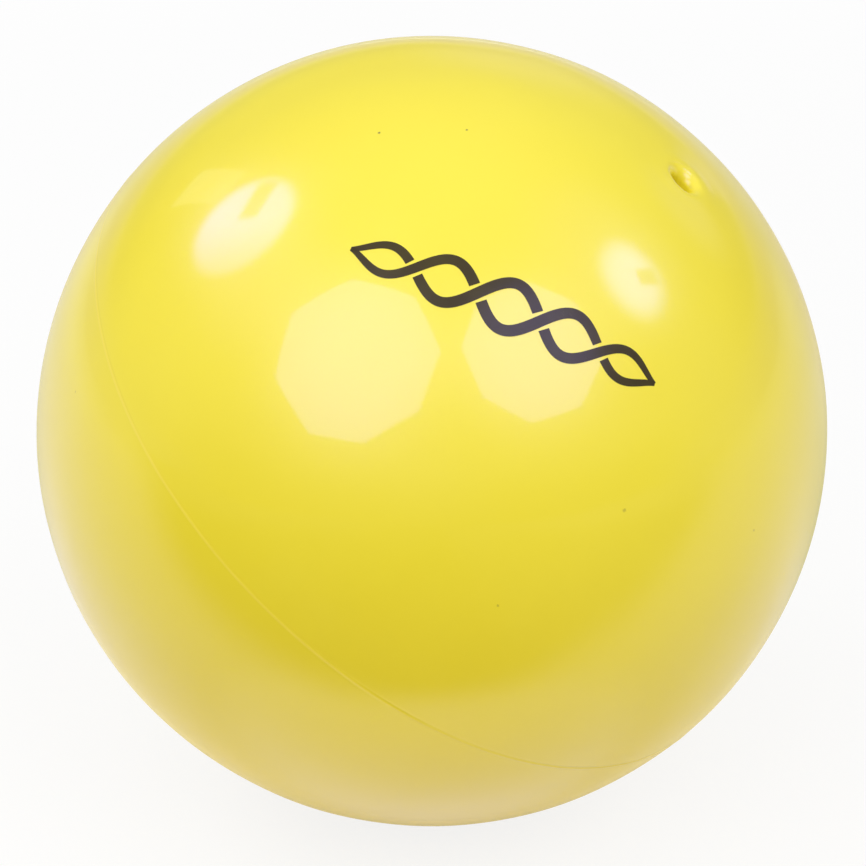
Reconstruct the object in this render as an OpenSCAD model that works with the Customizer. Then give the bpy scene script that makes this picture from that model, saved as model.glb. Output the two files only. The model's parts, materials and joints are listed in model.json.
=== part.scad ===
// Rhythmic gymnastics ball: a one-piece vinyl shell with a recessed plug valve.
// Every piece is turned about the valve's axis, and the whole ball then leans as it lies at rest.
// The ball's centre is the origin, in millimetres.

/* [Ball] */
// Outside diameter of the ball
ball_d = 190; // [170:1:200]
// Thickness of the moulded skin
wall = 3.2; // [2.4:0.1:5]
// Lean of the valve from straight up, in degrees
valve_lean = 40; // [0:1:80]

/* [Mould line] */
// Width of the raised line where the two mould halves met
seam_w = 0.7; // [0.4:0.1:1.6]
// Height of that line above the skin
seam_h = 0.12; // [0.06:0.02:0.3]

/* [Valve mouth] */
// Diameter of the mouth's straight part
mouth_d = 5.4; // [4.8:0.1:7]
// Radius of the roll from the skin down into the mouth
lip_r = 2.8; // [1.8:0.1:3.6]
// Height of the rolled lip above the skin
lip_h = 0.12; // [0.06:0.02:0.3]

/* [Valve neck] */
// Length of the neck, from the outside of the skin inwards
neck_l = 18; // [15:0.5:24]
// Wall of the neck outside the bush's collar
neck_wall = 2.2; // [1.5:0.1:4]
// How far the neck's root spreads where it joins the skin
neck_flare = 5; // [2:0.5:10]
// Chamfer round the neck's end
neck_chamfer = 0.8; // [0.3:0.1:1.4]

/* [Valve bush] */
// Depth of the bush's rim below the outside of the skin
bush_depth = 6; // [5:0.5:8]
// Wall of the bush round its cup
bush_wall = 1.4; // [1:0.1:2.5]
// How far the bush stands out of the neck's end
bush_overhang = 1.2; // [0.5:0.1:3]
// How far the locking collar stands out of the bush
collar_w = 1.2; // [0.6:0.1:2]
// Thickness of the locking collar
collar_h = 2.4; // [1.5:0.1:3.5]
// Radial step from the mouth to the cup that takes the plug's head
cup_step = 0.3; // [0.2:0.05:0.6]
// Diameter of the air channel at the cup's floor
channel_d = 3.2; // [2.6:0.1:3.8]
// Taper of the air channel, as the loss of diameter over its length
channel_taper = 0.5; // [0.2:0.1:1]
// Lead-in at the channel's mouth
lead_in = 0.3; // [0.1:0.05:0.4]
// Chamfer round the bush's inner end
bush_chamfer = 0.6; // [0.3:0.1:1]

/* [Valve plug] */
// Height of the plug's head
head_h = 2.4; // [2:0.1:3]
// Gap round the head as it passes through the mouth
head_gap = 0.3; // [0.2:0.05:0.5]
// Gap between the head and the bush's rim level
head_sink = 0.3; // [0.1:0.1:0.8]
// Height of the seat flange and of the pull cap, each
flange_h = 0.7; // [0.5:0.05:0.9]
// Depth of the waist that an extractor grips
waist_w = 0.8; // [0.4:0.1:1]
// Edge chamfer on the head and the tip
plug_chamfer = 0.2; // [0.1:0.05:0.25]
// Number of sealing rings on the stem
ring_count = 3; // [2:1:4]
// How far a sealing ring stands out of the stem
ring_h = 0.25; // [0.15:0.05:0.35]
// Radius of a sealing ring's section
ring_r = 0.45; // [0.4:0.05:0.6]
// Radial clearance between the rings and the channel
plug_clearance = 0.05; // [0.02:0.01:0.1]
// How far the plug's tip stands out of the bush
tip_l = 1.6; // [0.8:0.1:3]

/* [Hidden] */
$fn = 96;

// Colours
vinyl_yellow = [0.96, 0.88, 0.22];
bush_yellow = [0.86, 0.76, 0.16];
plug_white = [0.93, 0.92, 0.86];

// Radii, from the valve's axis
ball_r = ball_d / 2;
mouth_r = mouth_d / 2;
cup_r = mouth_r + cup_step;
bush_r = cup_r + bush_wall;
collar_r = bush_r + collar_w;
neck_r = collar_r + neck_wall;
root_r = neck_r + neck_flare;
channel_r = channel_d / 2;
channel_end_r = channel_r - channel_taper / 2;
head_r = mouth_r - head_gap;
waist_r = head_r - waist_w;

// Heights along the valve's axis, from the ball's centre
bush_z = ball_r - bush_depth;
cup_z = bush_z - head_sink - head_h;
neck_z = ball_r - neck_l;
bush_end_z = neck_z - bush_overhang;
channel_l = cup_z - bush_end_z;
collar_z = (cup_z + neck_z - collar_h) / 2;
tip_z = bush_end_z - tip_l;
head_z = cup_z + head_h;

// The mould line's section is a circle that cuts the skin seam_w wide and stands seam_h proud
seam_r = (seam_w * seam_w / 4 + seam_h * seam_h) / (2 * seam_h);

// The lip's section is a circle that stands lip_h proud of the skin and meets the mouth's wall
lip_x = mouth_r + lip_r;
lip_z = sqrt(pow(ball_r + lip_h - lip_r, 2) - pow(lip_x, 2));

// The neck's root ends inside the skin, half-way through its wall
root_z = sqrt(pow(ball_r - wall / 2, 2) - pow(root_r, 2));

function channel_r_at(z) = channel_end_r + (channel_r - channel_end_r) * (z - bush_end_z) / channel_l;

// Turns a half section about the valve's axis, then leans it as the ball lies
module turned() {
  rotate([0, valve_lean, 0])
    rotate_extrude()
      intersection() {
        translate([0, -ball_d])
          square([ball_d, 2 * ball_d]);
        children();
      }
}

// A straight hole on the valve's axis, from a low to a high level
module hole_section(r, low, high) {
  translate([0, low])
    square([r, high - low]);
}

// The neck, a tube that hangs inside the skin and spreads at its root
module neck_section() {
  polygon([
    [0, ball_r - wall / 2],
    [root_r, root_z],
    [neck_r, root_z - neck_flare],
    [neck_r, neck_z + neck_chamfer],
    [neck_r - neck_chamfer, neck_z],
    [0, neck_z],
  ]);
}

// The outside of the bush, which the neck is moulded round, with a chamfered inner end
module bush_outline() {
  polygon([
    [0, bush_end_z],
    [bush_r - bush_chamfer, bush_end_z],
    [bush_r, bush_end_z + bush_chamfer],
    [bush_r, bush_z],
    [0, bush_z],
  ]);
  hole_section(collar_r, collar_z, collar_z + collar_h);
}

// The air channel, with a lead-in that guides the plug's tip
module channel_section() {
  polygon([
    [0, bush_end_z],
    [channel_end_r, bush_end_z],
    [channel_r_at(cup_z - lead_in), cup_z - lead_in],
    [channel_r + lead_in, cup_z],
    [0, cup_z],
  ]);
}

module ball_shell() {
  color(vinyl_yellow)
    turned() {
      difference() {
        union() {
          circle(ball_r);
          translate([ball_r + seam_h - seam_r, 0])
            circle(seam_r);
        }
        difference() {
          circle(ball_r - wall);
          neck_section();
        }
        hole_section(mouth_r, bush_z, lip_z);
        hole_section(lip_x, lip_z, ball_d);
        bush_outline();
      }
      translate([lip_x, lip_z])
        circle(lip_r);
    }
}

module valve_bush() {
  color(bush_yellow)
    turned()
      difference() {
        bush_outline();
        hole_section(cup_r, cup_z, ball_r);
        channel_section();
      }
}

// The stem follows the channel's taper, inside the rings by their height
module stem_section() {
  inset = plug_clearance + ring_h;
  end_r = channel_end_r - inset;
  polygon([
    [0, tip_z],
    [end_r - plug_chamfer, tip_z],
    [end_r, tip_z + plug_chamfer],
    [end_r, bush_end_z],
    [channel_r - inset, cup_z],
    [channel_r - inset, cup_z + flange_h],
    [0, cup_z + flange_h],
  ]);
}

// A disc of the head with both edges chamfered
module disc_section(low) {
  polygon([
    [0, low],
    [head_r - plug_chamfer, low],
    [head_r, low + plug_chamfer],
    [head_r, low + flange_h - plug_chamfer],
    [head_r - plug_chamfer, low + flange_h],
    [0, low + flange_h],
  ]);
}

module valve_plug() {
  color(plug_white)
    turned() {
      stem_section();
      for (i = [0 : ring_count - 1]) {
        ring_z = bush_end_z + channel_l * (i + 0.5) / ring_count;
        translate([channel_r_at(ring_z) - plug_clearance - ring_r, ring_z])
          circle(ring_r);
      }
      disc_section(cup_z);
      hole_section(waist_r, cup_z, head_z);
      disc_section(head_z - flange_h);
    }
}

ball_shell();
valve_bush();
valve_plug();
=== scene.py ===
import json
import math

import bpy
import numpy as np
from mathutils import Matrix, Vector


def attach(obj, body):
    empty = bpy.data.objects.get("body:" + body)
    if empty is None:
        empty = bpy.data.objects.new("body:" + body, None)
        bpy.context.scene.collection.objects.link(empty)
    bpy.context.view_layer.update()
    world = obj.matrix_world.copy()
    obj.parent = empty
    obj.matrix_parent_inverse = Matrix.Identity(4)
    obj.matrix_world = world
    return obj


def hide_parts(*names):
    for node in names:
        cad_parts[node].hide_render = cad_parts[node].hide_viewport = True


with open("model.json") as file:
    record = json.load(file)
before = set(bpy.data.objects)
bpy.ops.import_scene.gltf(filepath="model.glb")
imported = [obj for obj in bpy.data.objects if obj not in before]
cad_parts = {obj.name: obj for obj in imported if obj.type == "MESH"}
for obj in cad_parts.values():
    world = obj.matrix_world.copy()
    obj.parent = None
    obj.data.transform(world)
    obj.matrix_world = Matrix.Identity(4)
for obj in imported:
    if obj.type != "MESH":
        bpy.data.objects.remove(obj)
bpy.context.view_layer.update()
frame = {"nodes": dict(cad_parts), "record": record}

scene = bpy.context.scene
scene.view_settings.view_transform = "Standard"
mm = 0.001

# the ball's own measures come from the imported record
mounts = {mount["name"]: mount for mount in frame["record"]["mounts"]}
valveAxis = np.array(mounts["valve_mouth"]["axis"], float)
valveAxis /= np.linalg.norm(valveAxis)
valveSideB = np.array([0.0, 1.0, 0.0])
valveSideA = np.cross(valveSideB, valveAxis)
ballRadius = -mounts["palm_rest"]["pos_m"][2]
print("frame loaded: ball radius", round(ballRadius / mm, 2), "mm")


# a unit direction from the view angles: azimuth 0 faces the viewer on -Y, elevation is above level
def direction(azimuth, elevation):
    a, e = math.radians(azimuth), math.radians(elevation)
    return np.array([math.sin(a) * math.cos(e), -math.cos(a) * math.cos(e), math.sin(e)])


# camera
photoView = {
    "azimuth": 22.1,
    "elevation": 25.0,
    "distance": 6.6,  # in ball radii, from the ball's centre
    "lens": 107.2,  # in mm, on a sensor 36 mm wide
    "clip": (0.01, 50),  # the nearest and farthest that it sees, in metres
    "aimRight": 0.243 * mm,  # the ball sits a pixel left of the middle
    "aimUp": -0.486 * mm,  # and two above it
}


# a unit direction by its azimuth from the camera
def fromCamera(azimuth, elevation=0):
    return direction(photoView["azimuth"] + azimuth, elevation)


towardCamera = fromCamera(0, photoView["elevation"])
levelFront, levelRight = fromCamera(0), fromCamera(90)
cameraUp = np.cross(towardCamera, levelRight)

camera = bpy.data.objects.new("camera", bpy.data.cameras.new("camera"))
scene.collection.objects.link(camera)
camera.data.lens = photoView["lens"]
camera.data.clip_start, camera.data.clip_end = photoView["clip"]
eyePoint = towardCamera * photoView["distance"] * ballRadius
aimPoint = levelRight * photoView["aimRight"] + cameraUp * photoView["aimUp"]
camera.location = Vector(eyePoint)
camera.rotation_mode = "QUATERNION"
camera.rotation_quaternion = Vector(aimPoint - eyePoint).to_track_quat("-Z", "Y")
scene.camera = camera
print("camera placed")


# mesh tools

# rings is rows x columns x 3, closed round its columns; each end is drawn together at one point
def closedSurface(rings, first, last):
    rows, columns = rings.shape[:2]
    points = np.vstack([rings.reshape(-1, 3), first, last])
    here = np.arange(rows * columns).reshape(rows, columns)
    beside = np.roll(here, -1, axis=1)
    quads = np.stack([here[:-1], beside[:-1], beside[1:], here[1:]], axis=-1).reshape(-1, 4)
    pole = np.full(columns, rows * columns)
    fans = (beside[0], here[0], pole), (here[-1], beside[-1], pole + 1)
    triangles = np.vstack([np.stack(fan, axis=-1) for fan in fans])
    corners = points[np.vstack([triangles, quads[:, [0, 1, 2]], quads[:, [0, 2, 3]]])]
    volume = np.einsum("ij,ij->", corners[:, 0], np.cross(corners[:, 1], corners[:, 2]))
    if volume < 0:  # inside out, so every face is turned round
        quads, triangles = quads[:, ::-1], triangles[:, ::-1]
    return points, quads, triangles


# puts one or more closed surfaces into a mesh object at the origin
def makePiece(name, surfaces, material, sharpAngle=40):
    offsets = np.cumsum([0] + [len(s[0]) for s in surfaces[:-1]])
    points = np.vstack([s[0] for s in surfaces])
    quads, triangles = (np.vstack([s[k] + o for s, o in zip(surfaces, offsets)]) for k in (1, 2))
    mesh = bpy.data.meshes.new(name)
    mesh.vertices.add(len(points))
    mesh.vertices.foreach_set("co", points.astype(np.float32).ravel())
    loops = np.concatenate([quads.ravel(), triangles.ravel()]).astype(np.int32)
    mesh.loops.add(len(loops))
    mesh.loops.foreach_set("vertex_index", loops)
    sizes = np.concatenate([np.full(len(quads), 4), np.full(len(triangles), 3)])
    starts = np.concatenate([[0], np.cumsum(sizes)[:-1]]).astype(np.int32)
    mesh.polygons.add(len(sizes))
    mesh.polygons.foreach_set("loop_start", starts)
    mesh.polygons.foreach_set("use_smooth", np.ones(len(sizes), bool))
    mesh.update(calc_edges=True)
    mesh.validate()
    mesh.set_sharp_from_angle(angle=math.radians(sharpAngle))
    mesh.materials.append(material)
    piece = bpy.data.objects.new(name, mesh)
    scene.collection.objects.link(piece)
    print("piece", name, "has", len(quads) * 2 + len(triangles), "triangles")
    return piece


# a profile turned about the valve's axis: each point is axis * height + radius * (A cos turn + B sin turn)
def turnedRings(radius, height, columns):
    turn = np.linspace(0, 2 * np.pi, columns, endpoint=False)
    spoke = np.cos(turn)[:, None] * valveSideA + np.sin(turn)[:, None] * valveSideB
    radius, height = (np.reshape(values, (len(values), -1, 1)) for values in (radius, height))
    return radius * spoke + height * valveAxis


# straight runs between corners, each corner rounded by a parabola that starts and ends "cut" away from it,
# or nearly half-way along a short run
def roundedProfile(corners, cut, steps=5):
    def pointTowards(corner, other):
        length = np.linalg.norm(other - corner)
        return corner + (other - corner) / length * min(cut, 0.45 * length)

    corners = np.array(corners, float)
    t = np.linspace(0, 1, steps)[:, None]
    runs = [corners[:1]]
    for before, corner, after in zip(corners[:-2], corners[1:-1], corners[2:]):
        enter, leave = pointTowards(corner, before), pointTowards(corner, after)
        runs.append((1 - t) ** 2 * enter + 2 * t * (1 - t) * corner + t ** 2 * leave)
    return np.vstack(runs + [corners[-1:]])


# material tools

# an input is a value, or a node or socket to link from
def setInputs(node, inputs):
    for key, value in inputs.items():
        if isinstance(value, bpy.types.Node):
            value = value.outputs[0]
        if isinstance(value, bpy.types.NodeSocket):
            node.id_data.links.new(value, node.inputs[key])
        else:
            node.inputs[key].default_value = value


def makeNode(tree, kind, inputs=None, **settings):
    node = tree.nodes.new(kind if kind.startswith("NodeGroup") else "ShaderNode" + kind)
    for key, value in settings.items():
        setattr(node, key, value)
    setInputs(node, inputs or {})
    return node


def makeMath(tree, operation, a, b=0.0, clamp=False):
    return makeNode(tree, "Math", {0: a, 1: b}, operation=operation, use_clamp=clamp).outputs[0]


def makeRange(tree, value, low, high, toLow=0.0, toHigh=1.0):
    return makeNode(tree, "MapRange", {
        "Value": value, "From Min": low, "From Max": high, "To Min": toLow, "To Max": toHigh,
    }, interpolation_type="SMOOTHSTEP").outputs["Result"]


def mixColours(tree, factor, a, b):
    a, b = (end if isinstance(end, bpy.types.NodeSocket) else (*end, 1.0) for end in (a, b))
    return makeNode(tree, "Mix", {0: factor, 6: a, 7: b}, data_type="RGBA").outputs[2]


# a vector from one or two vectors, or a plain number for a length, a distance or a dot product
def vectorMath(tree, operation, a, b=(0.0, 0.0, 0.0)):
    second = "Scale" if operation == "SCALE" else 1
    node = makeNode(tree, "VectorMath", {0: a, second: b}, operation=operation)
    return node.outputs["Value" if operation in ("LENGTH", "DISTANCE", "DOT_PRODUCT") else "Vector"]


# how far a place lies along a heading, or how much a direction points along it
def alongHeading(tree, place, heading):
    return vectorMath(tree, "DOT_PRODUCT", place, tuple(heading))


def multiply(tree, product, *factors):
    for factor in factors:
        product = makeMath(tree, "MULTIPLY", product, factor)
    return product


def makeNoise(tree, place, scale, detail, roughness=0.5, distortion=0.0):
    return makeNode(tree, "TexNoise", {
        "Vector": place, "Scale": scale, "Detail": detail, "Roughness": roughness, "Distortion": distortion,
    }).outputs


# links a shader to a material's output, in place of the one that is there
def setSurface(tree, shader):
    setInputs(next(node for node in tree.nodes if node.type == "OUTPUT_MATERIAL"), {"Surface": shader})


def emptyTree(owner):
    owner.use_nodes = True
    owner.node_tree.nodes.clear()
    return owner.node_tree


# an empty material with its shader, output and Object coordinates
def newMaterial(name):
    material = bpy.data.materials.new(name)
    tree = emptyTree(material)
    shader = makeNode(tree, "BsdfPrincipled")
    makeNode(tree, "OutputMaterial", {"Surface": shader})
    place = makeNode(tree, "TexCoord").outputs["Object"]
    return material, tree, shader, place


# what the soft plastics have in common: which bands of noise show, and how rubbed marks turn and stretch
softLook = {
    "inputs": ("Cloud Scale", "Grain Scale", "Rub Scale", "Rub Share"),
    "cloudBand": (0.3, 0.7),
    "rubTurn": (0.5, 0.3, 0.8),
    "rubStretch": (1.0, 14.0, 5.0),
    "rubLines": (0.62, 0.7),
    "rubZones": (0.5, 0.7),
}


# soft moulded plastic, shared by all the ball's materials: broad clouds of tone, a fine orange-peel
# grain for the bump, and short rubbed marks
def buildMouldedSoft():
    group = bpy.data.node_groups.new("mouldedSoft", "ShaderNodeTree")
    sockets = group.interface
    sockets.new_socket("Place", in_out="INPUT", socket_type="NodeSocketVector")
    for name in softLook["inputs"]:
        sockets.new_socket(name, in_out="INPUT", socket_type="NodeSocketFloat")
    for name in ("Cloud", "Grain", "Rub"):
        sockets.new_socket(name, in_out="OUTPUT", socket_type="NodeSocketFloat")
    entry = makeNode(group, "NodeGroupInput").outputs
    place, rubScale = entry["Place"], entry["Rub Scale"]
    cloud = makeNoise(group, place, entry["Cloud Scale"], 3.0, 0.45)[0]
    grain = makeNoise(group, place, entry["Grain Scale"], 2.0)[0]
    stretched = makeNode(group, "Mapping", {
        "Vector": place, "Rotation": softLook["rubTurn"], "Scale": softLook["rubStretch"]}).outputs[0]
    lines = makeRange(group, makeNoise(group, stretched, rubScale, 4.0, 0.6)[0], *softLook["rubLines"])
    zones = makeRange(group, makeNoise(group, place, rubScale, 1.0)[0], *softLook["rubZones"])
    makeNode(group, "NodeGroupOutput", {
        "Cloud": makeRange(group, cloud, *softLook["cloudBand"]), "Grain": grain,
        "Rub": multiply(group, lines, zones, entry["Rub Share"])})
    return group


mouldedSoft = buildMouldedSoft()


# scales are those of the clouds, the grain and the rubbed marks, and then the share of the rubbed marks
def softNode(tree, place, scales):
    inputs = {"Place": place, **dict(zip(softLook["inputs"], scales))}
    return makeNode(tree, "Group", inputs, node_tree=mouldedSoft).outputs


def grainBump(tree, soft, depth):
    return makeNode(tree, "Bump", {"Height": soft["Grain"], "Distance": depth})


# a soft plastic by a piece's own values: clouded between two colours, rougher where it is rubbed
def softMaterial(name, piece):
    material, tree, shader, place = newMaterial(name)
    soft = softNode(tree, place, piece["softScales"])
    colour = mixColours(tree, soft["Cloud"], piece["deep"], piece["light"])
    rubbed = multiply(tree, soft["Rub"], piece["rubRoughness"])
    setInputs(shader, {
        "Base Color": colour, "Roughness": makeMath(tree, "ADD", rubbed, piece["roughness"]),
        "Specular IOR Level": piece["specularLevel"], "Normal": grainBump(tree, soft, piece["grainDepth"])})
    return material, tree, shader, place, soft, colour


# yellow vinyl of the shell
vinyl = {
    "light": (0.930, 0.798, 0.037),
    "deep": (0.908, 0.770, 0.030),
    "softScales": (16.0, 1100.0, 70.0, 0.35),
    "roughness": 0.30,
    "rubRoughness": 0.25,  # what a rubbed mark adds
    "specularLevel": 0.30,
    "grainDepth": 0.004 * mm,
    "coatWeight": 0.58,
    "coatRubbed": 0.4,  # what a rubbed mark takes off
    "coatRoughness": 0.06,
    "dustTint": (0.90, 0.80, 0.13),
    "dustShare": 0.05,
    "dustScale": 24.0,
    "dustBand": (0.50, 0.68),  # the part of its noise that shows
    # a painted highlight: the mould line is tinted paler than the skin on its left stretch
    "seamHighlightTint": (0.965, 0.81, 0.075),
    "seamHighlightShare": 0.75,
    "seamEdges": (0.15 * mm, 0.45 * mm),  # the painted highlight is full up to the first distance and gone at the second
    "seamDull": 0.35,  # gloss that the mould line loses to the right, where its painted highlight has ended
    "seamTurn": (-0.35, 0.0),  # from where to where that changes, in ball radii
    # a darker line beside the bead, over its hairline, in patches
    "darkLineTint": (0.60, 0.48, 0.03),
    "darkLinePlace": 0.60 * mm,  # how far beside the bead it lies
    "darkLineEdges": (0.06 * mm, 0.28 * mm),
    "darkLineShare": 0.8,
    "darkLineSide": (-0.4, 0.4, 0.2, 1.0),  # two places to the right, in ball radii, and how much of it is there
    "fleckTint": (0.16, 0.12, 0.02),
    "fleckEdges": (0.6, 1.3),  # full up to the first and gone at the second, in fleck radii
    "raggedScale": 2600.0,
    "raggedReach": 0.5 * mm,
    # dark specks moulded into the skin: azimuth, elevation, radius in mm, strength
    "flecks": [
        (4.05, 67.15, 0.30, 0.9), (34.37, 68.04, 0.28, 0.8), (47.96, 12.47, 0.40, 0.35),
        (30.44, 2.07, 0.32, 0.35), (70.40, 3.20, 0.36, 0.3), (-39.79, 18.08, 0.30, 0.25),
        (128.0, 24.0, 0.30, 0.5), (214.0, -8.0, 0.34, 0.5), (286.0, 40.0, 0.28, 0.6),
    ],
}


def buildVinyl():
    material, tree, shader, place, soft, colour = softMaterial("yellowVinyl", vinyl)
    # smudges from hands: broad patches of thin dust
    smudge = makeNoise(tree, place, vinyl["dustScale"], 2.5, distortion=0.2)[0]
    dust = makeRange(tree, smudge, *vinyl["dustBand"], 0.0, vinyl["dustShare"])
    colour = mixColours(tree, dust, colour, vinyl["dustTint"])
    # the mould line: distance from its plane, along the valve's axis, and place to the right in ball radii
    fromSeam = alongHeading(tree, place, valveAxis)
    rightward = alongHeading(tree, place, levelRight / ballRadius)
    seamMask = makeRange(tree, makeMath(tree, "ABSOLUTE", fromSeam), *vinyl["seamEdges"], 1.0, 0.0)
    # the painted highlight: the mould line is tinted paler on its left stretch and fades out towards the
    # middle
    paintedHighlightShare = makeRange(tree, rightward, *vinyl["seamTurn"], vinyl["seamHighlightShare"], 0.0)
    dullShare = makeRange(tree, rightward, *vinyl["seamTurn"], 0.0, vinyl["seamDull"])
    colour = mixColours(tree, multiply(tree, seamMask, paintedHighlightShare), colour, vinyl["seamHighlightTint"])
    # a darker line lies beside it in patches, over its hairline, on the valve's side, with more of it to the
    # right
    fromDarkLine = makeMath(tree, "ABSOLUTE", makeMath(tree, "SUBTRACT", fromSeam, vinyl["darkLinePlace"]))
    darkLine = makeRange(tree, fromDarkLine, *vinyl["darkLineEdges"], vinyl["darkLineShare"], 0.0)
    darkLine = multiply(tree, darkLine, makeRange(tree, rightward, *vinyl["darkLineSide"]), soft["Cloud"])
    colour = mixColours(tree, darkLine, colour, vinyl["darkLineTint"])
    # flecks, each a ragged spot round its own place
    ragged = makeNoise(tree, place, vinyl["raggedScale"], 1.0)["Color"]
    shift = vectorMath(tree, "SUBTRACT", ragged, (0.5, 0.5, 0.5))
    shift = vectorMath(tree, "SCALE", shift, vinyl["raggedReach"])
    raggedPlace = vectorMath(tree, "ADD", place, shift)
    fleckMask = 0.0
    for azimuth, elevation, radius, strength in vinyl["flecks"]:
        away = vectorMath(tree, "DISTANCE", raggedPlace, tuple(direction(azimuth, elevation) * ballRadius))
        full, gone = (radius * radii * mm for radii in vinyl["fleckEdges"])
        fleckMask = makeMath(tree, "MAXIMUM", fleckMask, makeRange(tree, away, full, gone, strength, 0.0))
    colour = mixColours(tree, fleckMask, colour, vinyl["fleckTint"])
    rubbed = multiply(tree, soft["Rub"], vinyl["coatRubbed"])
    coat = makeMath(tree, "SUBTRACT", vinyl["coatWeight"], rubbed)
    coat = makeMath(tree, "SUBTRACT", coat, multiply(tree, seamMask, dullShare))
    setInputs(shader, {"Base Color": colour, "Coat Weight": coat, "Coat Roughness": vinyl["coatRoughness"]})
    return material


yellowVinyl = buildVinyl()
print("yellow vinyl made")

# ball shell, with lengths in mm
skin = {
    "columns": 240,
    "rows": {"below": 60, "seam": 41, "above": 56, "skirt": 14, "roll": 19, "bore": 7, "inner": 61},
    "wall": 3.2,
    "seamBand": (1.3, 1.4),  # from the mould line, rows are close to the first and wide from the second
    "seamSpread": 0.26,  # the bead falls away as a bell curve of this half width
    "seamHeight": 0.08,
    "seamEven": 0.9,  # share of that height that doesn't waver
    # waves along the line, in its share of height and in its place: size, count round the ball, phase
    "seamWaver": [(0.07, 5, 0.6), (0.03, 17, 2.0)],
    "seamDrift": [(0.05, 3, 0.0), (0.025, 11, 1.0)],
    "seamWorn": (4.15, 0.60, 0.85),  # a worn place: turn and half width in radians, loss of height
    "seamNick": (0.62, 0.11, 0.02),  # a hairline beside the bead: how far up, half width, depth
    "rippleHeight": 0.035,  # how untrue the soft moulding is
    "rippleLength": (22.0, 60.0),
    "rippleWaves": 14,
    "rippleSeed": 11,
    "mouthRadius": 2.7,
    "lipRoll": 2.8,
    "lipRise": 0.12,
    "skirtRadius": 10.0,  # where the lip has run out into the ball
    "rimDepth": 6.0,  # depths along the valve's axis, from the skin
    "collarTop": 12.15,
    "collarEnd": 14.55,
    "neckDepth": 18.0,
    "flareDepth": 7.48,
    "rimLead": 0.15,  # the end of the bore, where its rim starts to be rounded
    "insideRound": 0.08,  # how far from its corner an edge inside is rounded
    "pocketRadius": 4.4,
    "collarRadius": 5.6,
    "neckRadius": 7.8,
    "neckChamfer": 0.8,
    "rootRadius": 11.37,
}


# how much the skin is out of true: a sum of plane sine waves of seeded headings, lengths and phases
def skinRipple(points):
    count = skin["rippleWaves"]
    chance = np.random.default_rng(skin["rippleSeed"])
    heading = chance.normal(size=(count, 3))
    heading /= np.linalg.norm(heading, axis=1, keepdims=True)
    length = chance.uniform(*skin["rippleLength"], size=count)
    phase = chance.uniform(0, 2 * np.pi, size=count)
    waves = np.sin(points @ (heading * 2 * np.pi / length[:, None]).T + phase)
    return skin["rippleHeight"] * waves.sum(axis=-1) / math.sqrt(count / 2)


# waves along the mould line: a sum of sines, each with its size, its count round the ball and its phase
def seamWaves(turn, waves):
    return sum(size * np.sin(count * turn + phase) for size, count, phase in waves)


def bellCurve(away, spread):
    return np.exp(-(away / spread) ** 2 / 2)


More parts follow.
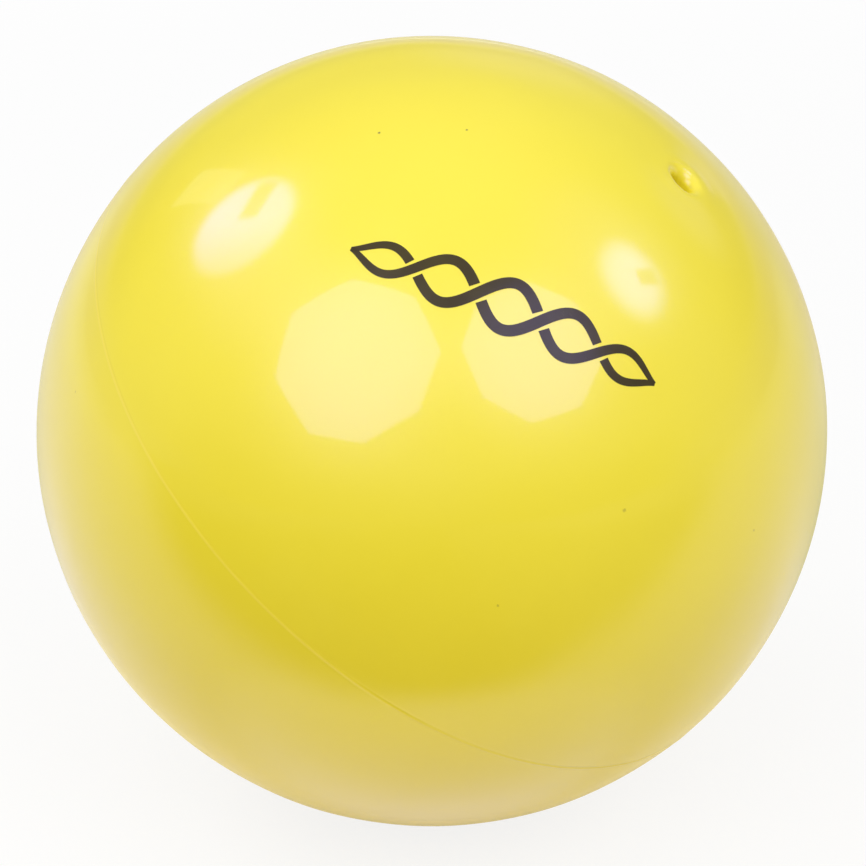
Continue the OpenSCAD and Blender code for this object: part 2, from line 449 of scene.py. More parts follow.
# the outer skin by arc length from the mould line and turn about the valve: a sphere with its ripple, plus a
# bead whose height is a bell curve across the line, and whose height and place waver slowly along it;
# the rest, from the lip to the inner wall, is one profile turned about the valve
def shellSurface():
    radius = ballRadius / mm
    rows, columns = skin["rows"], skin["columns"]
    turn = np.linspace(0, 2 * np.pi, columns, endpoint=False)[None]
    skirtLatitude = math.acos(skin["skirtRadius"] / radius)
    closeEnd, wideStart = skin["seamBand"]
    arc = np.concatenate([
        np.linspace(-radius * np.pi / 2, -wideStart, rows["below"])[1:],
        np.linspace(-closeEnd, closeEnd, rows["seam"]),
        np.linspace(wideStart, radius * skirtLatitude, rows["above"]),
    ])[:, None]
    wornTurn, wornSpread, wornLoss = skin["seamWorn"]
    waver = skin["seamEven"] + seamWaves(turn, skin["seamWaver"])
    waver *= 1 - wornLoss * bellCurve(turn - wornTurn, wornSpread)
    fromBead = arc - seamWaves(turn, skin["seamDrift"])
    bead = skin["seamHeight"] * waver * bellCurve(fromBead, skin["seamSpread"])
    nickPlace, nickSpread, nickDepth = skin["seamNick"]
    bead -= nickDepth * waver * bellCurve(fromBead - nickPlace, nickSpread)
    latitude = arc / radius
    ripple = skinRipple(turnedRings(np.cos(latitude), np.sin(latitude), columns) * radius)
    ripple *= np.clip((radius * skirtLatitude - arc) / skin["skirtRadius"], 0, 1)  # true again at the valve
    reach = radius + bead + ripple
    # the skirt rises to the lip on a cubic that keeps the ball's slope at its foot and is level on top
    mouth, lipRoll = skin["mouthRadius"], skin["lipRoll"]
    lipX = mouth + lipRoll
    lipZ = math.sqrt((radius + skin["lipRise"] - lipRoll) ** 2 - lipX ** 2)
    footX, footZ = skin["skirtRadius"], radius * math.sin(skirtLatitude)
    t = np.linspace(0, 1, rows["skirt"])[1:]
    span = lipX - footX
    skirtZ = ((2 * t ** 3 - 3 * t ** 2 + 1) * footZ + (t ** 3 - 2 * t ** 2 + t) * span * (-footX / footZ)
              + (3 * t ** 2 - 2 * t ** 3) * (lipZ + lipRoll))
    # the roll is a quarter circle from the lip's top to the mouth's wall, where the straight bore starts
    roll = np.linspace(0, np.pi / 2, rows["roll"])[1:]
    rimZ, collarTop, collarEnd, neckZ, flareZ = (
        radius - skin[depth] for depth in ("rimDepth", "collarTop", "collarEnd", "neckDepth", "flareDepth"))
    boreEnd = rimZ + skin["rimLead"]
    boreZ = np.linspace(lipZ, boreEnd, rows["bore"])[1:]
    # inside: the bush's pocket with its collar groove, the neck's end, its flare, then the inner wall
    pocket, collar, neck, root = (
        skin[name] for name in ("pocketRadius", "collarRadius", "neckRadius", "rootRadius"))
    chamfer = skin["neckChamfer"]
    innerRadius = radius - skin["wall"]
    inside = roundedProfile([
        (mouth, boreEnd), (mouth, rimZ), (pocket, rimZ), (pocket, collarTop), (collar, collarTop),
        (collar, collarEnd), (pocket, collarEnd), (pocket, neckZ), (neck - chamfer, neckZ),
        (neck, neckZ + chamfer), (neck, flareZ), (root, math.sqrt(innerRadius ** 2 - root ** 2)),
    ], skin["insideRound"], 3)[1:]
    innerArc = np.linspace(math.acos(root / innerRadius), -np.pi / 2, rows["inner"])[1:-1]
    profiles = [
        (reach * np.cos(latitude), reach * np.sin(latitude)),
        (footX + span * t, skirtZ),
        (lipX - lipRoll * np.sin(roll), lipZ + lipRoll * np.cos(roll)),
        (np.full(len(boreZ), mouth), boreZ),
        (inside[:, 0], inside[:, 1]),
        (np.cos(innerArc) * innerRadius, np.sin(innerArc) * innerRadius),
    ]
    rings = np.vstack([turnedRings(across * mm, up * mm, columns) for across, up in profiles])
    return closedSurface(rings, -valveAxis * radius * mm, -valveAxis * innerRadius * mm)


ballSkin = makePiece("ball_skin", [shellSurface()], yellowVinyl)
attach(ballSkin, "ball")
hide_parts("ball_shell")

# valve bush: the CAD node stays, with its own softer yellow
bush = {
    "light": (0.80, 0.56, 0.035),
    "deep": (0.70, 0.46, 0.022),
    "softScales": (240.0, 2600.0, 400.0, 0.5),
    "roughness": 0.42,
    "rubRoughness": 0.3,
    "specularLevel": 0.4,
    "grainDepth": 0.01 * mm,
}
bushNode = frame["nodes"]["valve_bush"]
bushNode.data.materials.clear()
bushNode.data.materials.append(softMaterial("softBush", bush)[0])
print("valve bush dressed")

# valve plug, with lengths in mm
plug = {
    "columns": 72,
    "stemRows": 110,
    "tipDepth": 20.8,  # depths along the valve's axis, from the ball's skin
    "stemTop": 8.7,
    "headTop": 6.3,
    "taperEnd": 19.2,
    "seatLap": 0.02,  # the stem stops this short of the head's seat
    "flange": 0.7,
    "tipRadius": 1.05,
    "tipRound": 0.35,
    "stemRadius": 1.30,
    "headRadius": 2.4,
    "waistRadius": 1.6,
    "edgeRound": 0.2,  # how far from its corner an edge of the head is rounded
    "rings": [17.45, 13.95, 10.45],
    "ringRise": 0.25,
    "ringSpread": 0.34,
    "dimple": 0.12,
    "dimpleShare": 0.6,  # of the head's radius
    "sharpAngle": 50,
    "light": (0.86, 0.85, 0.78),
    "deep": (0.80, 0.79, 0.70),
    "softScales": (300.0, 3000.0, 500.0, 0.5),
    "roughness": 0.38,
    "rubRoughness": 0.3,
    "specularLevel": 0.5,
    "grainDepth": 0.008 * mm,
}


# the stem's radius grows evenly from tip to seat, plus a smooth swell at each sealing ring;
# the head is two rounded discs with a waist between them, and its top is slightly dished
def stopperSurface():
    radius = ballRadius / mm
    tip, seat, top, flange = (plug[name] for name in ("tipDepth", "stemTop", "headTop", "flange"))
    tipRadius, tipRound, stemRadius, headRadius, waist = (
        plug[name] for name in ("tipRadius", "tipRound", "stemRadius", "headRadius", "waistRadius"))
    depth = np.linspace(tip - tipRound, seat + plug["seatLap"], plug["stemRows"])
    share = np.clip((plug["taperEnd"] - depth) / (plug["taperEnd"] - seat), 0, 1)
    stem = tipRadius + (stemRadius - tipRadius) * share
    away = (depth[:, None] - np.array(plug["rings"])[None]) / plug["ringSpread"]
    stem = stem + plug["ringRise"] * np.sqrt(np.clip(1 - away ** 2, 0, None)).sum(axis=1)
    tipTurn = np.linspace(0, np.pi / 2, 7)[1:-1]
    tipX = tipRadius - tipRound + tipRound * np.sin(tipTurn)
    tipZ = tip - tipRound + tipRound * np.cos(tipTurn)
    dimpleRadius = headRadius * plug["dimpleShare"]
    head = roundedProfile([
        (stemRadius, seat), (headRadius, seat), (headRadius, seat - flange), (waist, seat - flange),
        (waist, top + flange), (headRadius, top + flange), (headRadius, top), (dimpleRadius, top),
    ], plug["edgeRound"], 6)
    dishX = np.linspace(dimpleRadius, 0, 8)[1:-1]
    dishZ = top + plug["dimple"] * (0.5 + 0.5 * np.cos(np.pi * dishX / dimpleRadius))
    profileX = np.concatenate([tipX, stem, head[:, 0], dishX])
    profileZ = radius - np.concatenate([tipZ, depth, head[:, 1], dishZ])
    rings = turnedRings(profileX * mm, profileZ * mm, plug["columns"])
    ends = [valveAxis * (radius - end) * mm for end in (tip, top + plug["dimple"])]
    return closedSurface(rings, *ends)


stopper = makePiece("stopper", [stopperSurface()], softMaterial("plugWhite", plug)[0], plug["sharpAngle"])
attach(stopper, "plug")
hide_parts("valve_plug")

# printed twist: a plain ornament in black ink, two strands that pass over and under each other
twist = {
    "azimuth": 35.0,
    "elevation": 40.35,
    "tilt": -30.5,
    "halfLength": 36.0,  # in mm, as all its lengths are
    "height": 5.4,
    "loops": 5,
    "rows": 121,
    "tipShare": 0.998,  # how much of the half length a strand reaches
    "strand": 2.5,
    "strandEnd": 0.8,
    "gap": 0.7,
    "inkTop": 0.04,
    "inkFoot": -0.03,
    "ink": (0.032, 0.020, 0.008),
    "inkThin": (0.050, 0.038, 0.010),
    "inkGloss": (1.0, 0.92, 0.50),  # thin ink on yellow gives back a warm shine
    "softScales": (180.0, 1600.0, 200.0, 0.6),
    "cloudThin": 0.5,  # how much the clouds thin it
    "roughness": (0.22, 0.5),  # plain and rubbed
    "specularLevel": 0.4,
    "grainDepth": 0.004 * mm,
}


def buildInk():
    material, tree, shader, place = newMaterial("blackInk")
    soft = softNode(tree, place, twist["softScales"])
    clouded = multiply(tree, soft["Cloud"], twist["cloudThin"])
    thin = makeMath(tree, "ADD", clouded, soft["Rub"], True)
    setInputs(shader, {
        "Base Color": mixColours(tree, thin, twist["ink"], twist["inkThin"]),
        "Roughness": makeRange(tree, soft["Rub"], 0.0, 1.0, *twist["roughness"]),
        "Specular IOR Level": twist["specularLevel"], "Specular Tint": (*twist["inkGloss"], 1.0),
        "Normal": grainBump(tree, soft, twist["grainDepth"])})
    return material


# wraps flat print coordinates round the ball: a point at a distance and bearing from the print's middle
# goes the same distance along the great circle of that bearing
def wrapOnBall(across, up, lift):
    middle = direction(twist["azimuth"], twist["elevation"])
    east = direction(twist["azimuth"] + 90, 0)
    north = np.cross(middle, east)
    tilt = math.radians(twist["tilt"])
    alongPrint = east * math.cos(tilt) + north * math.sin(tilt)
    upPrint = -east * math.sin(tilt) + north * math.cos(tilt)
    radius = ballRadius / mm
    reach = np.hypot(across, up)
    spread = np.sinc(reach / radius / np.pi) / radius  # sin(reach / radius) / reach
    outward = (np.cos(reach / radius)[..., None] * middle
               + (spread * across)[..., None] * alongPrint + (spread * up)[..., None] * upPrint)
    return outward * (radius + lift + skinRipple(outward * radius))[..., None] * mm


# the twist's outline swells to the middle as a half ellipse
def twistEnvelope(t):
    return np.sqrt(np.clip(1 - t ** 2, 0, None))


# a strand's middle line is the envelope times a cosine, and a flat section of tapering width follows it
def strandSurface(side, start, stop):
    t = np.linspace(start, stop, twist["rows"])
    across = t * twist["halfLength"]
    up = side * twist["height"] * twistEnvelope(t) * np.cos(np.pi / 2 * twist["loops"] * t)
    stepX, stepY = np.gradient(across), np.gradient(up)
    length = np.hypot(stepX, stepY)
    normalX, normalY = -stepY / length, stepX / length
    half = 0.5 * (twist["strandEnd"] + (twist["strand"] - twist["strandEnd"]) * twistEnvelope(t))
    section = np.array([-1, -0.5, 0, 0.5, 1, 1, 0, -1], float)
    lift = np.array([twist["inkTop"]] * 5 + [twist["inkFoot"]] * 3)
    ringX = across[:, None] + normalX[:, None] * half[:, None] * section
    ringY = up[:, None] + normalY[:, None] * half[:, None] * section
    rings = wrapOnBall(ringX, ringY, np.broadcast_to(lift, ringX.shape))
    ends = wrapOnBall(across[[0, -1]], up[[0, -1]], np.zeros(2))
    return closedSurface(rings, ends[0], ends[1])


# the strands cross where the cosine is zero; at every second crossing the same strand is cut to pass under
def twistSurfaces():
    crossings = (np.arange(twist["loops"] - 1) - (twist["loops"] - 2) / 2) * 2 / twist["loops"]
    surfaces = []
    for side in (1, -1):
        under = crossings[0::2] if side > 0 else crossings[1::2]
        slope = twist["height"] * twistEnvelope(under) * np.pi / 2 * twist["loops"] / twist["halfLength"]
        width = twist["strandEnd"] + (twist["strand"] - twist["strandEnd"]) * twistEnvelope(under)
        # the cut's half length along the print, for strands that cross at twice the slope's angle
        angle = np.arctan(slope)
        cut = (width / 2 + twist["gap"]) / np.sin(2 * angle) * np.cos(angle) / twist["halfLength"]
        starts = np.concatenate([[-twist["tipShare"]], under + cut])
        stops = np.concatenate([under - cut, [twist["tipShare"]]])
        surfaces += [strandSurface(side, start, stop) for start, stop in zip(starts, stops)]
    return surfaces


printedTwist = makePiece("printed_twist", twistSurfaces(), buildInk())
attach(printedTwist, "ball")


# stage: floor, room, softboxes and lamps
studio = {
    "floorReach": 4.0,
    "floorSides": 96,
    "floorRoughness": 0.9,
    "floorBounce": (0.585, 0.488, 0.465),  # the light that it gives back to the ball
    "floorSeen": (0.95, 0.95, 0.95),  # what the camera sees of it
    "floorLift": 0.84,  # share of plain white that the camera sees in it, near the ball
    "floorFade": (3.0, 12.0),  # it runs out into plain white over these distances, in ball radii
    # the table in the gloss, with distances in ball radii
    "tableTint": (0.94, 0.91, 1.0),
    "tableFar": (6.0, 14.0),  # white from there on
    "tableLift": (0.20, 0.20, 0.22),  # light added to it
    "farLift": (0.50, 0.48, 0.36),  # and far out at the sides
    "farReach": (5.0, 14.0),
    "footReach": (0.7, 1.8),  # near the foot: painted contact shade in the ball's yellow, and painted yellow bounce light from the ball
    "footShadeTint": (0.88, 0.82, 0.60),
    "footBounceLift": (0.34, 0.31, 0.22),
    "frontPlace": (0.0, 1.08),  # a painted pool of light in front, wider than deep
    "frontReach": (0.40, 0.72),
    "frontNarrow": 0.55,
    "frontLift": (0.57, 0.58, 0.82),
    "shadeAzimuth": 174.0,  # the ball's own shadow, from the camera, fans out behind it
    "shadeFan": (0.30, 0.80),
    "shadeReach": (1.6, 4.5),
    "shadeNear": (0.47, 0.46, 0.22),
    "shadeFar": (0.73, 0.71, 0.64),
    "shadeCore": (0.66, 0.58, 0.42),  # its middle stays deeper for longer
    "coreFan": (0.76, 0.92),
    "coreReach": (5.0, 16.0),
    # where it fades to the dark room in front: how far to the right, and how far ahead
    "tableFront": [(-14.0, 1.9), (-6.0, 1.70), (-3.0, 1.47), (-1.0, 1.48), (0.0, 1.54), (1.5, 1.71),
                   (3.0, 1.78), (6.0, 1.76), (14.0, 1.9)],
    "tableEdge": (0.17, 0.14),  # half width of that edge, and its growth to the sides
    "darkFloor": (0.03, 0.12),
    "darkReach": (4.0, 16.0),
    # it is lighter to the right and far out to the sides: from and to, and the light added there
    "darkRight": (0.0, 2.0, 0.0, 0.20),
    "darkSides": (4.0, 12.0, 0.0, 0.28),
    "ambient": 0.482,
    "lampDistance": 1.3,
    "boxSides": 8,
    "roundSides": 48,  # of lamps and glows
    "lampDims": (-1.0, 0.3),  # where a lamp dims towards its far end, in lamp radii
    "bracketEdge": (0.6, 1.4),  # how soft its bracket's sides are, in half widths
    "bracketCover": 0.9,  # how much of the light that hides
    "glowFade": 0.2,  # where a glow starts to fade, in its radii
    "boxTint": (0.30, 0.31, 1.0),
    "glowTint": (0.18, 0.17, 1.0),
    "roomTint": (0.93, 0.95, 1.0),
    "horizonTint": (1.09, 0.98, 1.0),
    "wallTint": (2.3, 2.1, 1.0),
    "roomReach": 6.0,
    "roomFoot": -0.06,  # the sine of the height where it starts
    "roomRings": (40, 64),
    # seen height above level, as its sine, and the room's brightness there
    "room": [(0.0, 0.89), (0.045, 0.89), (0.075, 0.77), (0.12, 0.77), (0.20, 0.83), (0.30, 0.81),
             (0.50, 0.88), (0.70, 1.02), (0.85, 1.12), (1.0, 1.42)],
    "roomBehind": [(0.0, 0.60), (0.075, 0.56), (0.125, 0.37), (0.16, 0.24), (0.30, 0.27), (0.50, 0.42),
                   (0.75, 0.74), (1.0, 1.40)],
    "wallBehind": (178.0, -0.10, 0.60),  # its azimuth from the camera, and how it fades in
    "horizonBand": (0.06, 0.16),  # heights over which its tint takes over from the horizon's
    "wallBand": (0.30, 0.50),  # and gives way to the room's
    "roomFacing": (0.1, 0.6, 0.0, 0.8),  # how dim the room is towards the camera
    "roomLow": (-0.10, 0.35, 1.0, 0.0),  # low down
    "topLight": 0.095,
    "topSize": 1.8,
    "topHeight": 1.5,
    # azimuth from the camera, elevation, half angle, share of the soft light, and distance
    "backLight": (178.0, 9.5, 10.0, 0.15, 3.6),
}
# each box: azimuth from the camera, elevation, half angle, brightness in the gloss, share of the soft light
softBoxes = {
    "leftBox": (-28.0, 41.4, 22.0, 6.9, 0.270),
    "rightBox": (38.0, 42.4, 18.5, 6.8, 0.246),
}
# each lamp: the same, where its fade to the rim starts, how bright its far end is, the azimuth and elevation
# towards which its bracket covers it, the bracket's start, end and half width in lamp radii, and its tint
sideLamps = {
    "sideLampLeft": (-108.3, 44.5, 15.2, 11.8, 0.178, 0.72, 0.45, (-127.0, 48.3), (0.08, 0.74, 0.17),
                     (0.18, 0.17, 1.0)),
    "sideLampRight": (89.9, 39.9, 12.0, 11.3, 0.056, 0.40, 0.9, (97.2, 34.9), (0.12, 0.58, 0.15),
                      (0.18, 0.30, 1.0)),
}
# each glow in the room: azimuth from the camera, elevation, half angle and brightness
roomGlows = {
    "glowLeft": (-80.0, 47.0, 26.0, 1.1),
    "glowRight": (92.0, 48.0, 27.0, 0.9),
    "glowBack": (128.5, 24.5, 13.0, 0.65),
    "glowLow": (148.5, 8.4, 6.5, 0.5),
    "glowWall": (170.0, 19.0, 17.0, 0.3),
}
# each pale panel: its corners, as azimuth from the camera and elevation, and its brightness
palePanels = {
    "sidePanel": ([(-131.1, 22.2), (-138.4, 25.7), (-131.3, 40.7), (-123.0, 35.7)], 1.0),
}


def stageObject(name, mesh, material):
    thing = bpy.data.objects.new(name, mesh)
    mesh.materials.append(material)
    scene.collection.objects.link(thing)
    return thing


def onlyInGloss(thing):
    thing.visible_camera = thing.visible_diffuse = thing.visible_shadow = False
    thing.visible_transmission = thing.visible_volume_scatter = False


# a flat card of equal sides round its own middle
def flatCard(name, sides, reach, firstTurn=0.0, level=0.0):
    turn = np.linspace(0, 2 * np.pi, sides, endpoint=False) + firstTurn
    rim = np.stack([np.cos(turn) * reach, np.sin(turn) * reach, np.full(sides, level)], axis=-1)
    mesh = bpy.data.meshes.new(name)
    mesh.from_pydata(rim.tolist(), [], [list(range(sides))])
    return mesh


def glowMaterial(name, colour, strength):
    material = bpy.data.materials.new(name)
    tree = emptyTree(material)
    glow = makeNode(tree, "Emission", {"Color": (*colour, 1.0), "Strength": strength})
    makeNode(tree, "OutputMaterial", {"Surface": glow})
    return material, tree, glow


# a float curve through the given points
def curveThrough(tree, value, places):
    node = makeNode(tree, "FloatCurve", {"Value": value})
    node.mapping.clip_max_y = 2.0  # values go past 1
    points = node.mapping.curves[0].points
    while len(points) < len(places):
        points.new(0.5, 0.5)
    for point, place in zip(points, places):
        point.location = place
    node.mapping.update()
    return node.outputs[0]


# the table as the gloss shows it: white and a little lifted, with painted shade and the ball's painted yellow
# bounce light round its foot, dimmer in the ball's painted shadow, and in front, past a bent edge, the dark
# room
def tableShader(tree, place):
    flat = vectorMath(tree, "MULTIPLY", place, (1 / ballRadius, 1 / ballRadius, 0))
    away = vectorMath(tree, "LENGTH", flat)
    ahead, aside = alongHeading(tree, flat, levelFront), alongHeading(tree, flat, levelRight)
    farAside = makeMath(tree, "ABSOLUTE", aside)
    towardsShade = alongHeading(tree, vectorMath(tree, "NORMALIZE", flat), fromCamera(studio["shadeAzimuth"]))
    fan = makeRange(tree, towardsShade, *studio["shadeFan"])
    core = makeRange(tree, towardsShade, *studio["coreFan"])
    deepCore = multiply(tree, core, makeRange(tree, away, *studio["coreReach"], 1.0, 0.0))
    shadeEnd = mixColours(tree, deepCore, studio["shadeFar"], studio["shadeCore"])
    shade = mixColours(tree, makeRange(tree, away, *studio["shadeReach"]), studio["shadeNear"], shadeEnd)
    # painted contact shade and painted bounce light from the ball, round its foot
    nearFoot = makeRange(tree, away, *studio["footReach"], 1.0, 0.0)
    plain = mixColours(tree, makeRange(tree, away, *studio["tableFar"]), studio["tableTint"], (1.0, 1.0, 1.0))
    colour = mixColours(tree, nearFoot, mixColours(tree, fan, plain, shade), studio["footShadeTint"])
    matt = makeNode(tree, "BsdfDiffuse", {"Color": colour})
    # the light that is added to it
    spotAside, spotAhead = studio["frontPlace"]
    spotPlace = makeNode(tree, "CombineXYZ", {
        "X": multiply(tree, makeMath(tree, "SUBTRACT", aside, spotAside), studio["frontNarrow"]),
        "Y": makeMath(tree, "SUBTRACT", ahead, spotAhead)}).outputs[0]
    inSpot = makeRange(tree, vectorMath(tree, "LENGTH", spotPlace), *studio["frontReach"], 1.0, 0.0)
    farSide = multiply(tree, makeMath(tree, "SUBTRACT", 1.0, core),
                       makeRange(tree, away, *studio["farReach"]))
    lifted = mixColours(tree, farSide, studio["tableLift"], studio["farLift"])
    lifted = mixColours(tree, nearFoot, lifted, studio["footBounceLift"])
    lifted = mixColours(tree, inSpot, lifted, studio["frontLift"])
    lift = makeNode(tree, "Emission", {"Color": lifted})
    table = makeNode(tree, "AddShader", {0: matt, 1: lift})
    # the edge in front, softer to the sides, and the dark past it
    edgeHalf, edgeGrowth = studio["tableEdge"]
    edge = makeMath(tree, "ADD", multiply(tree, farAside, edgeGrowth), edgeHalf)
    firstAside = studio["tableFront"][0][0]
    wide = studio["tableFront"][-1][0] - firstAside
    asideShare = makeMath(tree, "DIVIDE", makeMath(tree, "SUBTRACT", aside, firstAside), wide, True)
    frontPlaces = [((right - firstAside) / wide, far) for right, far in studio["tableFront"]]
    front = curveThrough(tree, asideShare, frontPlaces)
    past = makeRange(tree, ahead, makeMath(tree, "SUBTRACT", front, edge), makeMath(tree, "ADD", front, edge))
    darkness = makeRange(tree, away, *studio["darkReach"], *studio["darkFloor"])
    darkness = makeMath(tree, "ADD", darkness, makeRange(tree, aside, *studio["darkRight"]))
    darkness = makeMath(tree, "ADD", darkness, makeRange(tree, farAside, *studio["darkSides"]))
    dark = makeNode(tree, "Emission", {"Strength": darkness})
    return makeNode(tree, "MixShader", {0: past, 1: table, 2: dark})


# the floor is matt; the camera sees it lifted towards white, with the ball's shadow kept, the gloss sees it
# as a white table with a dark room in front, and from below it is clear
def buildFloor():
    material, tree, shader, place = newMaterial("paleFloor")
    path = makeNode(tree, "LightPath").outputs
    colour = mixColours(tree, path["Is Camera Ray"], studio["floorBounce"], studio["floorSeen"])
    setInputs(shader, {
        "Base Color": colour, "Roughness": studio["floorRoughness"], "Specular IOR Level": 0.0})
    away = vectorMath(tree, "LENGTH", place)
    fadeStart, fadeEnd = (radii * ballRadius for radii in studio["floorFade"])
    whiteness = makeRange(tree, away, fadeStart, fadeEnd, studio["floorLift"], 1.0)
    seen = multiply(tree, path["Is Camera Ray"], whiteness)
    mirrored = makeMath(tree, "MAXIMUM", path["Is Glossy Ray"], path["Is Transmission Ray"])
    backSide = makeNode(tree, "NewGeometry").outputs["Backfacing"]
    white = makeNode(tree, "Emission")
    clear = makeNode(tree, "BsdfTransparent")
    for share, other in ((seen, white), (mirrored, tableShader(tree, place)), (backSide, clear)):
        shader = makeNode(tree, "MixShader", {0: share, 1: shader, 2: other})
    setSurface(tree, shader)
    mesh = flatCard("floor", studio["floorSides"], studio["floorReach"], level=-ballRadius)
    stageObject("floor", mesh, material)


# the room is a dome whose brightness follows the sine of the height at which it is seen, with a darker wall
# behind the ball, and which is dim low down in front, where the camera stands
def buildRoom():
    reach = studio["roomReach"]
    rows, columns = studio["roomRings"]
    height = np.linspace(studio["roomFoot"], 1.0, rows)[:-1]
    turn = np.linspace(0, 2 * np.pi, columns, endpoint=False)
    ring = np.sqrt(1 - height ** 2)
    rings = np.stack([ring[:, None] * np.cos(turn), ring[:, None] * np.sin(turn),
                      height[:, None] * np.ones(columns)], axis=-1) * reach
    foot, top = (np.array([0, 0, level]) * reach for level in (studio["roomFoot"], 1.0))
    points, quads, triangles = closedSurface(rings, foot, top)
    mesh = bpy.data.meshes.new("room")
    mesh.from_pydata(points.tolist(), [], quads.tolist() + triangles.tolist())
    material, tree, glow = glowMaterial("roomGrey", studio["roomTint"], 1.0)
    material.cycles.emission_sampling = "NONE"
    place = makeNode(tree, "TexCoord").outputs["Object"]
    seen = vectorMath(tree, "SCALE", place, 1 / reach)
    tall = makeNode(tree, "SeparateXYZ", {0: seen}).outputs["Z"]
    wallAzimuth, wallStart, wallFull = studio["wallBehind"]
    towardsWall = alongHeading(tree, seen, fromCamera(wallAzimuth))
    level = makeRange(tree, towardsWall, wallStart, wallFull, curveThrough(tree, tall, studio["room"]),
                      curveThrough(tree, tall, studio["roomBehind"]))
    facing = makeRange(tree, alongHeading(tree, seen, levelFront), *studio["roomFacing"])
    dim = multiply(tree, facing, makeRange(tree, tall, *studio["roomLow"]))
    strength = multiply(tree, level, makeMath(tree, "SUBTRACT", 1.0, dim))
    aboveHorizon = makeRange(tree, tall, *studio["horizonBand"])
    tint = mixColours(tree, aboveHorizon, studio["horizonTint"], studio["wallTint"])
    tint = mixColours(tree, makeRange(tree, towardsWall, wallStart, wallFull), studio["roomTint"], tint)
    tint = mixColours(tree, makeRange(tree, tall, *studio["wallBand"]), tint, studio["roomTint"])
    setInputs(glow, {"Color": tint, "Strength": strength})
    onlyInGloss(stageObject("room", mesh, material))


# places a flat thing so that its own Z looks back at the ball, with its X level
def facingBall(thing, middle, towards):
    side = np.cross([0, 0, 1.0], towards)
    side /= np.linalg.norm(side)
    thing.matrix_world = Matrix(np.vstack([np.column_stack([side, np.cross(towards, side), towards, middle]),
                                           [0, 0, 0, 1]]).tolist())


# where a lamp stands: far out along its direction, from the spot on the ball that mirrors it to the camera
def lampPlace(azimuth, elevation):
    towards = fromCamera(azimuth, elevation)
    mirrorSpot = towards + towardCamera
    mirrorSpot = mirrorSpot / np.linalg.norm(mirrorSpot) * ballRadius
    return mirrorSpot + towards * studio["lampDistance"], towards


# how wide a lamp is at its distance
def lampSize(halfAngle):
    return studio["lampDistance"] * math.tan(math.radians(halfAngle))


# puts a card where a lamp stands, for the gloss only
def placeCard(name, mesh, material, azimuth, elevation):
    card = stageObject(name, mesh, material)
    facingBall(card, *lampPlace(azimuth, elevation))
    onlyInGloss(card)
    return card


# the soft light comes from a round area lamp, which the gloss doesn't see; its power makes a matt white face
# that looks at it show about the given share of full white
def addSoftLight(name, middle, towards, distance, halfAngle, share):
    angle = math.radians(halfAngle)
    size = distance * math.tan(angle)
    lamp = bpy.data.lights.new(name, "AREA")
    lamp.shape, lamp.size = "DISK", 2 * size
    lamp.energy = share / math.sin(angle) ** 2 * math.pi ** 2 * size ** 2
    holder = bpy.data.objects.new(name, lamp)
    scene.collection.objects.link(holder)
    facingBall(holder, middle, towards)
    holder.visible_glossy = holder.visible_camera = holder.visible_transmission = False


def buildSoftBox(name, azimuth, elevation, halfAngle, brightness, share):
    sides = studio["boxSides"]
    mesh = flatCard(name, sides, lampSize(halfAngle) / math.cos(np.pi / sides), np.pi / sides)
    placeCard(name, mesh, glowMaterial(name + "Glow", studio["boxTint"], brightness)[0], azimuth, elevation)
    addSoftLight(name + "Light", *lampPlace(azimuth, elevation), studio["lampDistance"], halfAngle, share)


# lets a glow add to what is seen behind it
def seeThrough(tree, glow):
    clear = makeNode(tree, "BsdfTransparent")
    setSurface(tree, makeNode(tree, "AddShader", {0: glow, 1: clear}))


# a round card that looks at the ball, for lamps and glows
def roundCard(name, azimuth, elevation, halfAngle, brightness, tint):
    size = lampSize(halfAngle)
    material, tree, glow = glowMaterial(name + "Glow", tint, brightness)
    card = placeCard(name, flatCard(name, studio["roundSides"], size), material, azimuth, elevation)
    seeThrough(tree, glow)
    return card, tree, glow, makeNode(tree, "TexCoord").outputs["Object"], size


# a bare round lamp is dimmer at one end and fades at its rim, and its bracket covers a strip of it
def buildSideLamp(name, azimuth, elevation, halfAngle, brightness, share, fadeStart, farEnd, coverTo, bracket,
                  tint):
    card, tree, glow, place, size = roundCard(name, azimuth, elevation, halfAngle, brightness, tint)
    middle, towards = lampPlace(azimuth, elevation)
    coverWay = fromCamera(*coverTo) - towards
    cover = np.array(card.matrix_world.to_3x3().inverted() @ Vector(coverWay))[:2]
    cover /= np.linalg.norm(cover)
    along = alongHeading(tree, place, (*cover, 0))
    beside = makeMath(tree, "ABSOLUTE", alongHeading(tree, place, (-cover[1], cover[0], 0)))
    first, last, half = (radii * size for radii in bracket)
    edgeStart, edgeEnd = (widths * half for widths in studio["bracketEdge"])
    strip = makeRange(tree, beside, edgeStart, edgeEnd, studio["bracketCover"], 0.0)
    strip = multiply(tree, strip, makeRange(tree, along, first, first + half),
                     makeRange(tree, along, last, last + half, 1.0, 0.0))
    rimFade = makeRange(tree, vectorMath(tree, "LENGTH", place), fadeStart * size, size, 1.0, 0.0)
    dimStart, dimEnd = (radii * size for radii in studio["lampDims"])
    dimmed = makeRange(tree, along, dimStart, dimEnd, farEnd, 1.0)
    strength = multiply(tree, makeMath(tree, "SUBTRACT", 1.0, strip), brightness, rimFade, dimmed)
    setInputs(glow, {"Strength": strength})
    addSoftLight(name + "Light", middle, towards, studio["lampDistance"], halfAngle, share)


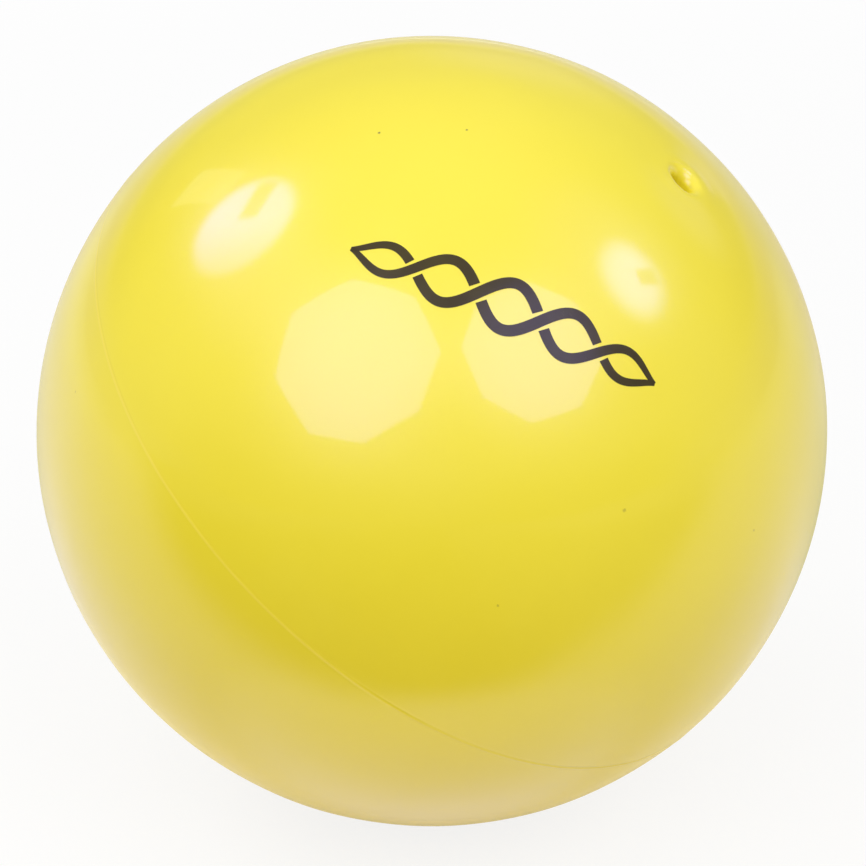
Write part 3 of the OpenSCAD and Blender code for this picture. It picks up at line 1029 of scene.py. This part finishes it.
# a wide faint glow that fades out from its middle
def buildGlow(name, azimuth, elevation, halfAngle, brightness):
    tint = studio["glowTint"]
    tree, glow, place, size = roundCard(name, azimuth, elevation, halfAngle, brightness, tint)[1:]
    away = vectorMath(tree, "LENGTH", place)
    strength = makeRange(tree, away, studio["glowFade"] * size, size, brightness, 0.0)
    setInputs(glow, {"Strength": strength})


# a pale panel of the studio, faint in the gloss
def buildPanel(name, corners, brightness):
    mesh = bpy.data.meshes.new(name)
    mesh.from_pydata([lampPlace(*corner)[0].tolist() for corner in corners], [], [list(range(len(corners)))])
    material, tree, glow = glowMaterial(name + "Glow", studio["roomTint"], brightness)
    seeThrough(tree, glow)
    onlyInGloss(stageObject(name, mesh, material))


def buildWorld():
    world = bpy.data.worlds.new("studioWorld")
    scene.world = world
    tree = emptyTree(world)
    path = makeNode(tree, "LightPath").outputs
    seen = makeMath(tree, "MAXIMUM", path["Is Camera Ray"], path["Is Glossy Ray"])
    seen = makeMath(tree, "MAXIMUM", seen, path["Is Transmission Ray"])
    level = studio["ambient"]
    colour = mixColours(tree, seen, (level, level, level), (1.0, 1.0, 1.0))
    back = makeNode(tree, "Background", {"Color": colour})
    makeNode(tree, "OutputWorld", {"Surface": back})


buildFloor()
buildRoom()
for name, values in softBoxes.items():
    buildSoftBox(name, *values)
for name, values in sideLamps.items():
    buildSideLamp(name, *values)
for name, values in roomGlows.items():
    buildGlow(name, *values)
for name, values in palePanels.items():
    buildPanel(name, *values)
topHeight = studio["topHeight"]
topAngle = math.degrees(math.atan(studio["topSize"] / 2 / topHeight))
almostUp = np.array([0, 1e-4, 1.0])  # straight up would leave the lamp's side open
addSoftLight("topLight", np.array([0, 0, topHeight]), almostUp, topHeight, topAngle, studio["topLight"])
backAzimuth, backElevation, backAngle, backShare, backDistance = studio["backLight"]
backTowards = fromCamera(backAzimuth, backElevation)
addSoftLight("backLight", backTowards * backDistance, backTowards, backDistance, backAngle, backShare)
buildWorld()
print("stage lit")
